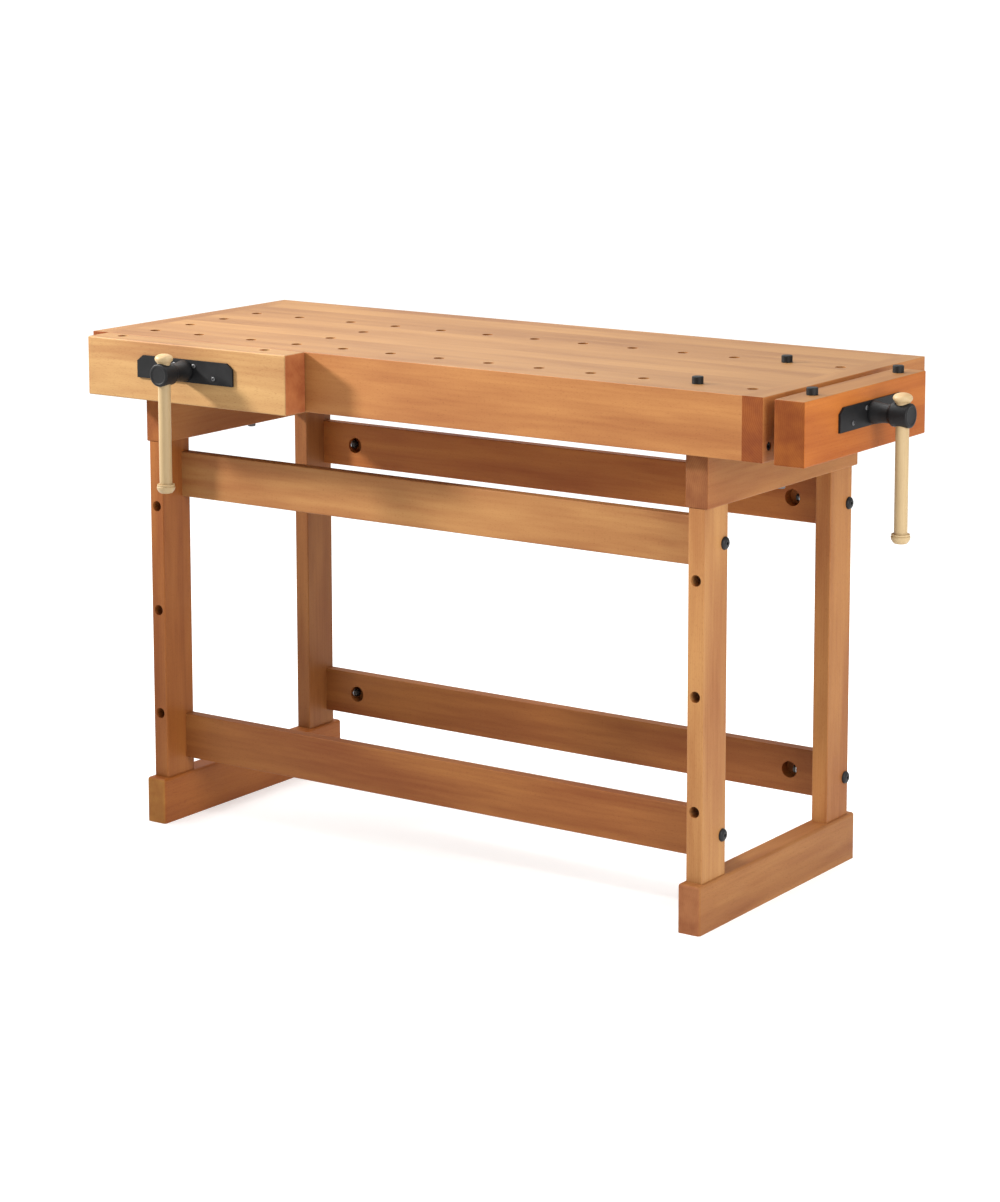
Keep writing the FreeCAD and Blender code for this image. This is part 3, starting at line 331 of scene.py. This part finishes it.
# nodes that keep their CAD shape, by finish
carried = {
    "cast": ("front_vise_bracket", "end_vise_bracket"),
    "zinc": ("front_screw_collar", "end_screw_collar", "cap_cross_nuts",
             "front_bracket_screws", "end_bracket_screws"),
    "rodX": ("end_guide_rod_front", "end_guide_rod_back"),
    "rodY": ("front_guide_rod_left", "front_guide_rod_right"),
    "dowelX": ("stretcher_dowels",),
    "dowelZ": ("bearer_dowels",),
    "birch": ("front_bar", "end_bar"),
    "dog": ("dog_front", "dog_back", "jaw_dog_front", "jaw_dog_back"),
}
for finish, group in carried.items():
    for node in group:
        coat(nodes[node], finishes[finish])
print("carried nodes coated:", len(boards) + sum(len(group) for group in carried.values()))


def turned(outline, steps=5):
    # an outline of (radius, height, rounding) in mm; a rounding of 0 keeps the corner sharp
    spots = [Vector((radius * mm, height * mm)) for radius, height, rounding in outline]
    line = []
    for number, spot in enumerate(spots):
        rounding = outline[number][2] * mm
        if not rounding:
            line.append(tuple(spot))
            continue
        before = (spots[number - 1] - spot).normalized() * rounding
        after = (spots[number + 1] - spot).normalized() * rounding
        for step in range(steps + 1):
            t = step / steps
            point = (spot + before) * (1 - t) ** 2 + spot * 2 * t * (1 - t) + (spot + after) * t ** 2
            line.append(tuple(point))
    return line


# hexagon and cross give the radius of their outline at an angle
def hexagon(flats):
    sixth = math.pi / 3
    return lambda angle: flats / 2 / math.cos((angle + sixth / 2) % sixth - sixth / 2)


def cross(reach, width):
    def radius(angle):
        off = abs((angle + math.pi / 4) % (math.pi / 2) - math.pi / 4)
        return min(reach / math.cos(off), width / 2 / max(math.sin(off), 1e-6))
    return radius


def addRings(mesh, rings, place, segments=48, closed=False):
    # rings are (radius or function of the angle, height); radius 0 ends in one point
    rows = []
    for radius, height in rings:
        if radius == 0:
            rows.append([mesh.verts.new(place @ Vector((0, 0, height)))])
            continue
        row = []
        for step in range(segments):
            angle = 2 * math.pi * step / segments
            reach = radius(angle) if callable(radius) else radius
            spot = Vector((reach * math.cos(angle), reach * math.sin(angle), height))
            row.append(mesh.verts.new(place @ spot))
        rows.append(row)
    for first, second in zip(rows, rows[1:] + rows[:1] if closed else rows[1:]):
        for step in range(segments):
            after = (step + 1) % segments
            corners = [first[step % len(first)], first[after % len(first)],
                       second[after % len(second)], second[step % len(second)]]
            face = list(dict.fromkeys(corners))
            if len(face) > 2:
                mesh.faces.new(face)


def rod(radius, low, high):
    # rings of a plain round bar with flat ends
    return [(0, low), (radius, low), (radius, high), (0, high)]


def plainObject(name, mesh):
    bmesh.ops.recalc_face_normals(mesh, faces=mesh.faces)
    data = bpy.data.meshes.new(name)
    mesh.to_mesh(data)
    mesh.free()
    thing = bpy.data.objects.new(name, data)
    bpy.context.scene.collection.objects.link(thing)
    return thing


def dress(piece, body, finish, replaced, sharp):
    # edges steeper than sharp, in degrees, stay crisp; the piece takes its finish and body, and what it
    # replaces is hidden
    for face in piece.data.polygons:
        face.use_smooth = True
    piece.data.set_sharp_from_angle(angle=math.radians(sharp))
    coat(piece, finishes[finish])
    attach(piece, body)
    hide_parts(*replaced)


def makePiece(name, mesh, body, finish, replaced, sharp):
    dress(plainObject(name, mesh), body, finish, [replaced], sharp)


def carve(piece, cutters, bevel, steps, angle=50):
    # takes the cutters out of the piece and eases what edges are left
    for cutter in cutters:
        tool = piece.modifiers.new("cut", "BOOLEAN")
        tool.operation, tool.object, tool.solver = "DIFFERENCE", cutter, "EXACT"
    ease = piece.modifiers.new("ease", "BEVEL")
    ease.width, ease.segments, ease.limit_method = bevel, steps, "ANGLE"
    ease.angle_limit = math.radians(angle)
    ease.use_clamp_overlap = True
    bpy.context.view_layer.update()
    graph = bpy.context.evaluated_depsgraph_get()
    data = bpy.data.meshes.new_from_object(piece.evaluated_get(graph))
    piece.modifiers.clear()
    piece.data = data
    for cutter in cutters:
        bpy.data.objects.remove(cutter)


def viseFrame(which):
    # local axes of a vise: x along the jaw, y up, z straight out of the jaw's outer face
    low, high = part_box(which + "_hub")
    middle = (low + high) / 2
    jawLow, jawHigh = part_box(which + "_jaw")
    if which == "front":
        along, out = Vector((1, 0, 0)), Vector((0, -1, 0))
        middle.y = jawLow.y
    else:
        along, out = Vector((0, 1, 0)), Vector((1, 0, 0))
        middle.x = jawHigh.x
    turn = Matrix((along, Vector((0, 0, 1)), out)).transposed().to_4x4()
    return Matrix.Translation(middle) @ turn


upward = Matrix.Rotation(math.radians(-90), 4, "X")     # turns local z to the vise's y, up


def addThread(mesh, place, size):
    # one helical wall: four lines a turn, fading into the core at both ends
    start, end, root, pitch, segments = (size[key] for key in ("start", "end", "root", "pitch", "segments"))
    shape = [(0.0, root), (0.18, size["crest"]), (0.50, size["crest"]), (0.68, root)]
    turns = int(math.ceil((end - start) / pitch)) + 2
    rows = []
    for row in range(-len(shape), turns * len(shape)):
        turn, (share, radius) = row // len(shape), shape[row % len(shape)]
        line = []
        for step in range(segments):
            height = start + (turn + share + step / segments) * pitch
            fade = max(0.0, min(1.0, (height - start) / pitch, (end - height) / pitch))
            reach = root + (radius - root) * min(1.0, fade * 1.5)
            height = max(start, min(end, height))
            angle = 2 * math.pi * step / segments
            spot = Vector((reach * math.cos(angle), reach * math.sin(angle), height))
            line.append(mesh.verts.new(place @ spot))
        rows.append(line)
    # the last step of each line meets the line one turn on
    for number in range(len(rows) - 1 - len(shape)):
        low, high = rows[number], rows[number + 1]
        lowNext, highNext = rows[number + len(shape)], rows[number + len(shape) + 1]
        for step in range(segments - 1):
            mesh.faces.new([low[step], low[step + 1], high[step + 1], high[step]])
        mesh.faces.new([low[-1], lowNext[0], highNext[0], high[-1]])


leadScrew = {"crest": 11.0 * mm, "root": 8.6 * mm, "pitch": 5 * mm, "journal": 9.0 * mm,
             "journalEnd": 8.3 * mm, "shoulder": 9.2 * mm, "start": 10.5 * mm, "end": 297.0 * mm,
             "tip": 300 * mm, "inHub": 32.3 * mm, "ease": 1.2 * mm, "segments": 36, "sharp": 28}


def buildLeadScrew(which):
    size = leadScrew
    journal, root, ease = size["journal"], size["root"], size["ease"]
    place = viseFrame(which) @ Matrix.Rotation(math.pi, 4, "Y")       # z into the bench
    mesh = bmesh.new()
    addThread(mesh, place, size)
    head = [(0, -size["inHub"]), (journal - ease, -size["inHub"]), (journal, -size["inHub"] + ease),
            (journal, size["journalEnd"]), (root, size["shoulder"]), (root, size["start"])]
    tail = [(root, size["end"]), (root - ease, size["tip"]), (0, size["tip"])]
    for rings in (head, tail):
        addRings(mesh, rings, place, size["segments"])
    bmesh.ops.remove_doubles(mesh, verts=mesh.verts, dist=1e-6)
    bmesh.ops.dissolve_degenerate(mesh, dist=1e-7, edges=mesh.edges)
    loose = [vert for vert in mesh.verts if not vert.link_faces]
    bmesh.ops.delete(mesh, geom=loose, context="VERTS")
    makePiece(which + "ThreadedScrew", mesh, which + "_vise_screw", "screw", which + "_lead_screw",
              size["sharp"])


hub = {"off": 4.3 * mm, "barHole": 11.1 * mm, "barAt": 53 * mm, "through": 40 * mm, "holeEase": 0.7 * mm,
       "easeSteps": 3, "segments": 72, "holeSegments": 64, "sharp": 40,
       # bore for the screw, base, cone, neck, barrel and its dished end
       "outline": ((0, 28, 0), (9.05, 28, 0), (9.05, 0, 0), (19, 0, 0.8), (19, 4, 2.5), (15.4, 20, 6),
                   (15.4, 33, 3), (20, 37, 3), (20, 69, 3.2), (15, 69, 0.6), (14.4, 68.2, 0.5),
                   (0, 68.2, 0))}


def buildHub(which):
    out = viseFrame(which) @ Matrix.Translation((0, 0, hub["off"]))
    mesh = bmesh.new()
    addRings(mesh, turned(hub["outline"]), out, hub["segments"])
    piece = plainObject(which + "CastHub", mesh)
    cutter = bmesh.new()
    barPlace = out @ Matrix.Translation((0, 0, hub["barAt"])) @ upward
    addRings(cutter, rod(hub["barHole"], -hub["through"], hub["through"]), barPlace, hub["holeSegments"])
    carve(piece, [plainObject("cutter", cutter)], hub["holeEase"], hub["easeSteps"])
    dress(piece, which + "_vise_screw", "cast", [which + "_hub"], hub["sharp"])


knob = {"height": 16 * mm, "segments": 64, "roundSteps": 6, "sharp": 40,
        "mushroom": ((0, 0, 0), (12.4, 0, 0.5), (12.4, 1.0, 0.8), (15.98, 5.0, 3.2), (15.98, 11.4, 5.0),
                     (7.4, 15.7, 4.0), (0, 16, 0)),
        "bowl": ((0, 0, 0), (15.2, 0, 0.8), (15.2, 2.6, 0.5), (14.5, 3.2, 0.3), (15.98, 4.4, 0.9),
                 (15.98, 9.0, 4.4), (10.5, 16, 2.4), (0, 16, 0))}


def buildKnobs(which):
    # the upper knob is turned like a mushroom, the lower one like a bowl with its rim at the bar
    low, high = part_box(which + "_bar_knobs")
    middle = (low + high) / 2
    mesh = bmesh.new()
    for foot, turn, shape in ((high.z - knob["height"], 0, "mushroom"),
                              (low.z + knob["height"], math.pi, "bowl")):
        place = Matrix.Translation((middle.x, middle.y, foot)) @ Matrix.Rotation(turn, 4, "X")
        addRings(mesh, turned(knob[shape], knob["roundSteps"]), place, knob["segments"])
    makePiece(which + "TurnedKnobs", mesh, which + "_vise_bar", "birch", which + "_bar_knobs", knob["sharp"])


visePlate = {"length": 216 * mm, "height": 40 * mm, "thick": 4 * mm, "corner": 13 * mm, "drop": 10 * mm,
             "journal": 9.08 * mm, "screwHole": 2.25 * mm, "cutFrom": -5 * mm, "cutTo": 9 * mm,
             "ease": 0.6 * mm, "easeSteps": 1, "holeSegments": 40, "sharp": 25}
plateScrew = {"head": 4.0 * mm, "high": 2.0 * mm, "shank": 2.25 * mm, "length": 32 * mm, "reach": 2.1 * mm,
              "slot": 1.3 * mm, "depth": 1.4 * mm, "sharp": 30,
              "spots": ((-66 * mm, -9 * mm), (-22 * mm, 10 * mm), (22 * mm, 10 * mm), (66 * mm, -9 * mm))}


def buildPlate(which):
    size = visePlate
    place = viseFrame(which)
    half, top = size["length"] / 2, size["height"] / 2
    outline = [(-half, -top), (half, -top), (half, top - size["drop"]), (half - size["corner"], top),
               (size["corner"] - half, top), (-half, top - size["drop"])]
    mesh = bmesh.new()
    back = [mesh.verts.new(place @ Vector((x, y, 0))) for x, y in outline]
    face = [mesh.verts.new(place @ Vector((x, y, size["thick"]))) for x, y in outline]
    mesh.faces.new(face)
    mesh.faces.new(list(reversed(back)))
    for number in range(len(outline)):
        after = (number + 1) % len(outline)
        mesh.faces.new([back[number], back[after], face[after], face[number]])
    piece = plainObject(which + "FacePlate", mesh)
    cutters = []
    holes = [((0, 0), size["journal"])] + [(spot, size["screwHole"]) for spot in plateScrew["spots"]]
    for spot, radius in holes:
        cutter = bmesh.new()
        rings = rod(radius, size["cutFrom"], size["cutTo"])
        addRings(cutter, rings, place @ Matrix.Translation((*spot, 0)), size["holeSegments"])
        cutters.append(plainObject("cutter", cutter))
    carve(piece, cutters, size["ease"], size["easeSteps"])
    dress(piece, which + "_vise_jaw", "plate", [which + "_vise_plate"], size["sharp"])


def buildPlateScrews(which):
    # pan heads with a cross recess, seated on the plate
    head, high, shank, length = (plateScrew[key] for key in ("head", "high", "shank", "length"))
    recess, bottom = cross(plateScrew["reach"], plateScrew["slot"]), high - plateScrew["depth"]
    wall = [(lambda a, r=r: recess(a) * r) for r in (1.0, 0.86)]
    rings = [(0, -length), (shank * 0.45, -length + shank), (shank, -length + 3 * shank), (shank, 0),
             (head * 0.96, 0), (head, high * 0.22), (head * 0.97, high * 0.5), (head * 0.86, high * 0.80),
             (head * 0.66, high * 0.97), (wall[0], high), (wall[1], bottom), (0, bottom)]
    mesh = bmesh.new()
    for x, y in plateScrew["spots"]:
        addRings(mesh, rings, viseFrame(which) @ Matrix.Translation((x, y, visePlate["thick"])))
    makePiece(which + "PlateScrews", mesh, which + "_vise_jaw", "darkSteel", which + "_plate_screws",
              plateScrew["sharp"])


for which in ("front", "end"):
    buildLeadScrew(which)
    buildHub(which)
    buildKnobs(which)
    buildPlate(which)
    buildPlateScrews(which)
print("vise hardware made")


def solidBoxes(node):
    # the box of each separate solid of a node, found from the loose parts of its mesh
    mesh = bmesh.new()
    mesh.from_mesh(nodes[node].data)
    bmesh.ops.remove_doubles(mesh, verts=mesh.verts, dist=1e-6)
    found, left = [], set(mesh.verts)
    while left:
        stack, island = [left.pop()], []
        while stack:
            vert = stack.pop()
            island.append(vert.co.copy())
            for edge in vert.link_edges:
                other = edge.other_vert(vert)
                if other in left:
                    left.remove(other)
                    stack.append(other)
        low = Vector([min(co[n] for co in island) for n in range(3)])
        high = Vector([max(co[n] for co in island) for n in range(3)])
        found.append((low, high))
    mesh.free()
    return sorted(found, key=lambda box: [round(value, 4) for value in box[0]])      # the same order each run


def aimed(spot, direction):
    return Matrix.Translation(spot) @ Vector(direction).to_track_quat("Z", "Y").to_matrix().to_4x4()


def shaft(radius, length, ease=0.8 * mm):
    # rings of a plain shank below a bolt's head, from its tip up to height 0
    return [(0, -length), (radius - ease, -length), (radius, -length + ease), (radius, 0)]


domeBolt = {"head": 11 * mm, "high": 6 * mm, "shank": 4 * mm, "length": 102 * mm, "socket": 5 * mm,
            "depth": 3.4 * mm, "sharp": 26,
            "dome": ((0.965, 0.42), (0.88, 0.66), (0.74, 0.85), (0.55, 0.97), (0.42, 1.0))}


def buildStretcherBolts():
    # black furniture bolts: low domed head with a hexagon socket
    head, top, socket = domeBolt["head"], domeBolt["high"], hexagon(domeBolt["socket"])
    floorAt = top - domeBolt["depth"]
    rings = (shaft(domeBolt["shank"], domeBolt["length"])
             + [(head - 0.3 * mm, 0), (head, 0.3 * mm), (head, 1.1 * mm)]
             + [(head * wide, top * up) for wide, up in domeBolt["dome"]]
             + [(hexagon(domeBolt["socket"] * 1.08), top), (socket, top - 0.3 * mm),
                (socket, floorAt), (0, floorAt - 0.8 * mm)])
    outerLeft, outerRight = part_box("leg_front_left")[0].x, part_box("leg_front_right")[1].x
    mesh = bmesh.new()
    for low, high in solidBoxes("stretcher_bolts"):
        middle = (low + high) / 2
        seat, way = (outerLeft, -1) if middle.x < 0 else (outerRight, 1)
        addRings(mesh, rings, aimed((seat, middle.y, middle.z), (way, 0, 0)))
    makePiece("domedStretcherBolts", mesh, "bench", "bolt", "stretcher_bolts", domeBolt["sharp"])


nut = {"flats": 13 * mm, "high": 6.5 * mm, "bore": 4.08 * mm, "washer": 8 * mm, "washerBore": 4.5 * mm,
       "washerHigh": 1.6 * mm, "sharp": 25}


def nutRings(flats, high, bore):
    # a hexagon nut whose corners are turned off at both ends
    corner, face, ease = hexagon(flats), flats * 0.475, 0.7 * mm
    trimmed = [(lambda a, r=r: min(corner(a), flats / 2 * r)) for r in (1.03, 1.155)]
    return [(bore, ease), (bore + ease, 0), (face, 0), (trimmed[0], 0.35 * mm), (trimmed[1], 1.1 * mm),
            (trimmed[1], high - 1.1 * mm), (trimmed[0], high - 0.35 * mm), (face, high), (bore + ease, high),
            (bore, high - ease)]


def washerRings(radius, bore, high):
    ease = 0.2 * mm
    return [(bore, ease), (bore + ease, 0), (radius - ease, 0), (radius, ease), (radius, high - ease),
            (radius - ease, high), (bore + ease, high), (bore, high - ease)]


def buildNutsAndWashers():
    hexNut = nutRings(nut["flats"], nut["high"], nut["bore"])
    washer = washerRings(nut["washer"], nut["washerBore"], nut["washerHigh"])
    for name, node, finish, rings in (("hexNuts", "stretcher_nuts", "darkerNut", hexNut),
                                      ("roundWashers", "stretcher_washers", "zinc", washer)):
        mesh = bmesh.new()
        for low, high in solidBoxes(node):
            middle = (low + high) / 2
            addRings(mesh, rings, aimed((low.x, middle.y, middle.z), (1, 0, 0)), closed=True)
        makePiece(name, mesh, "bench", finish, node, nut["sharp"])


bearerBolt = {"flats": 13 * mm, "high": 6.5 * mm, "shank": 4 * mm, "washer": 12 * mm, "bore": 4.5 * mm,
              "washerHigh": 1.6 * mm, "sharp": 25}


def buildBearerBolts():
    flats, top = bearerBolt["flats"], bearerBolt["high"]
    corner = hexagon(flats)
    trimmed = [(lambda a, r=r: min(corner(a), flats / 2 * r)) for r in (1.0, 1.155)]
    head = [(trimmed[1], 0), (trimmed[1], top - 1.2 * mm), (trimmed[0], top), (0, top)]
    washer = washerRings(bearerBolt["washer"], bearerBolt["bore"], bearerBolt["washerHigh"])
    bolts, washers = bmesh.new(), bmesh.new()
    for low, high in solidBoxes("bearer_bolts"):
        middle = (low + high) / 2
        seat = (middle.x, middle.y, low.z + top)
        addRings(bolts, shaft(bearerBolt["shank"], high.z - low.z - top) + head, aimed(seat, (0, 0, -1)))
        addRings(washers, washer, aimed(seat, (0, 0, 1)), closed=True)
    makePiece("bearerHexBolts", bolts, "bench", "darkSteel", "bearer_bolts", bearerBolt["sharp"])
    makePiece("bearerWashers", washers, "bench", "darkSteel", "bearer_washers", bearerBolt["sharp"])


capBolt = {"head": 6.5 * mm, "high": 8 * mm, "shank": 4 * mm, "length": 75 * mm, "socket": 6 * mm,
           "depth": 4 * mm, "sharp": 26}


def buildCapBolts():
    # cylinder-head bolts sunk in the end caps, with a hexagon socket
    head, top, socket = capBolt["head"], capBolt["high"], hexagon(capBolt["socket"])
    floorAt = top - capBolt["depth"]
    rings = (shaft(capBolt["shank"], capBolt["length"])
             + [(head, 0), (head, top - 0.6 * mm), (head - 0.6 * mm, top),
                (hexagon(capBolt["socket"] * 1.1), top), (socket, top - 0.4 * mm), (socket, floorAt),
                (0, floorAt - 0.8 * mm)])
    mesh = bmesh.new()
    for low, high in solidBoxes("cap_bolts"):
        middle = (low + high) / 2
        seat, way = (low.x + top, -1) if middle.x < 0 else (high.x - top, 1)
        addRings(mesh, rings, aimed((seat, middle.y, middle.z), (way, 0, 0)))
    makePiece("sunkCapBolts", mesh, "bench", "bolt", "cap_bolts", capBolt["sharp"])


leaf = {"bow": 1.4 * mm, "steps": 24, "flat": 0.16, "sharp": 40}


def buildLeafSprings():
    # a bowed strip whose two feet lie in the dog's slot
    for dog, body in (("dog_front", "top_dog_front"), ("dog_back", "top_dog_back"),
                      ("jaw_dog_front", "end_dog_front"), ("jaw_dog_back", "end_dog_back")):
        low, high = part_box(dog + "_spring")
        mesh = bmesh.new()
        rows = []
        for step in range(leaf["steps"] + 1):
            share = step / leaf["steps"]
            middle = max(0.0, min(1.0, (share - leaf["flat"]) / (1 - 2 * leaf["flat"])))
            bow = leaf["bow"] * math.sin(math.pi * middle) ** 2
            height = low.z + (high.z - low.z) * share
            rows.append([mesh.verts.new((x + bow, y, height)) for x, y in
                         ((low.x, low.y), (high.x, low.y), (high.x, high.y), (low.x, high.y))])
        mesh.faces.new(rows[0])
        mesh.faces.new(list(reversed(rows[-1])))
        for first, second in zip(rows, rows[1:]):
            for number in range(4):
                after = (number + 1) % 4
                mesh.faces.new([first[number], first[after], second[after], second[number]])
        makePiece(dog.replace("_", "-") + "-leaf", mesh, body, "spring", dog + "_spring", leaf["sharp"])


buildStretcherBolts()
buildNutsAndWashers()
buildBearerBolts()
buildCapBolts()
buildLeafSprings()
print("fasteners and springs made")

floor = {"radius": 70.0, "colour": (0.64, 0.64, 0.637), "roughness": 0.62, "glow": 0.47,
         "clouds": 0.8, "cloudDim": 0.985, "cloudRough": 0.05}


def buildFloor():
    mesh = bmesh.new()
    bmesh.ops.create_circle(mesh, cap_ends=True, segments=96, radius=floor["radius"])
    ground = plainObject("studioFloor", mesh)
    paint = Paint(bpy.data.materials.new("paleFloor"))
    cloud = paint.noise(paint.make("TexCoord", None, None, "Object"), floor["clouds"], 3.0)
    dim = tuple(value * floor["cloudDim"] for value in floor["colour"])
    glow = {"Emission Color": (1.0, 1.0, 1.0, 1.0), "Emission Strength": floor["glow"]}
    changing = {"Base Color": paint.mix(cloud, floor["colour"], dim),
                "Roughness": floor["roughness"] + cloud * floor["cloudRough"]}
    coat(ground, paint.finish(glow, changing))


# a gridded key from the left and front, a wide soft box at the right and one overhead
lamps = {
    "keySpot": {"kind": "SPOT", "place": (-3.02, -1.63, 2.30), "aim": (-0.54, -0.17, 1.22), "watts": 1070.0,
                "tint": (1.0, 0.98, 0.94), "cone": 32.0, "blend": 0.9, "soft": 0.22},
    "fillBox": {"kind": "AREA", "place": (2.3, -0.8, 1.2), "aim": (0.4, 0.0, 0.5), "watts": 37.0,
                "tint": (1.0, 0.985, 0.96), "soft": 1.2},
    "topBox": {"kind": "AREA", "place": (-0.95, 0.3, 3.0), "aim": (-0.2, 0.0, 0.9), "watts": 96.0,
               "tint": (1.0, 0.99, 0.98), "soft": 3.0},
}
sky = {"from": -0.1, "to": 1.0, "horizon": 0.14, "zenith": 1.35, "backdrop": 1.0}


def hangLamp(name, lamp):
    data = bpy.data.lights.new(name, lamp["kind"])
    data.energy, data.color = lamp["watts"], lamp["tint"]
    if lamp["kind"] == "SPOT":
        data.spot_size, data.spot_blend = math.radians(lamp["cone"]), lamp["blend"]
        data.shadow_soft_size = lamp["soft"]
    else:
        data.shape, data.size = "SQUARE", lamp["soft"]
    hung = bpy.data.objects.new(name, data)
    hung.location = lamp["place"]
    hung.rotation_mode = "QUATERNION"
    hung.rotation_quaternion = (hung.location - Vector(lamp["aim"])).to_track_quat("Z", "Y")
    bpy.context.scene.collection.objects.link(hung)


def lightScene():
    for name, lamp in lamps.items():
        hangLamp(name, lamp)
    world = bpy.data.worlds.new("studio")
    paint = Paint(world)
    direction = paint.make("TexCoord", None, None, "Generated")
    light = paint.axes(direction)[2].between(sky["from"], sky["to"], sky["horizon"], sky["zenith"])
    # the sky lights the bench unevenly, and itself shows as plain white
    seen = paint.make("LightPath", None, None, "Is Camera Ray")
    strength = paint.make("Mix", None, {0: seen, 2: light, 3: sky["backdrop"]})
    white = paint.make("Background", None, {"Color": (1.0, 1.0, 1.0, 1.0), "Strength": strength})
    paint.make("OutputWorld", None, {"Surface": white})
    bpy.context.scene.world = world
    bpy.context.scene.view_settings.view_transform = "Standard"


camera = {"place": (3.059, -4.4392, 1.6594), "yaw": 34.118, "pitch": 8.415, "lens": 94.499,
          "sensor": 36.0, "shift": (-0.03, -0.19), "farthest": 200.0}


def placeCamera():
    data = bpy.data.cameras.new("studioCamera")
    data.sensor_width, data.lens, data.clip_end = camera["sensor"], camera["lens"], camera["farthest"]
    data.shift_x, data.shift_y = camera["shift"]
    eye = bpy.data.objects.new("studioCamera", data)
    eye.location = camera["place"]
    eye.rotation_euler = (math.radians(90 - camera["pitch"]), 0, math.radians(camera["yaw"]))
    bpy.context.scene.collection.objects.link(eye)
    bpy.context.scene.camera = eye


buildFloor()
lightScene()
placeCamera()
print("floor, lights and camera placed")
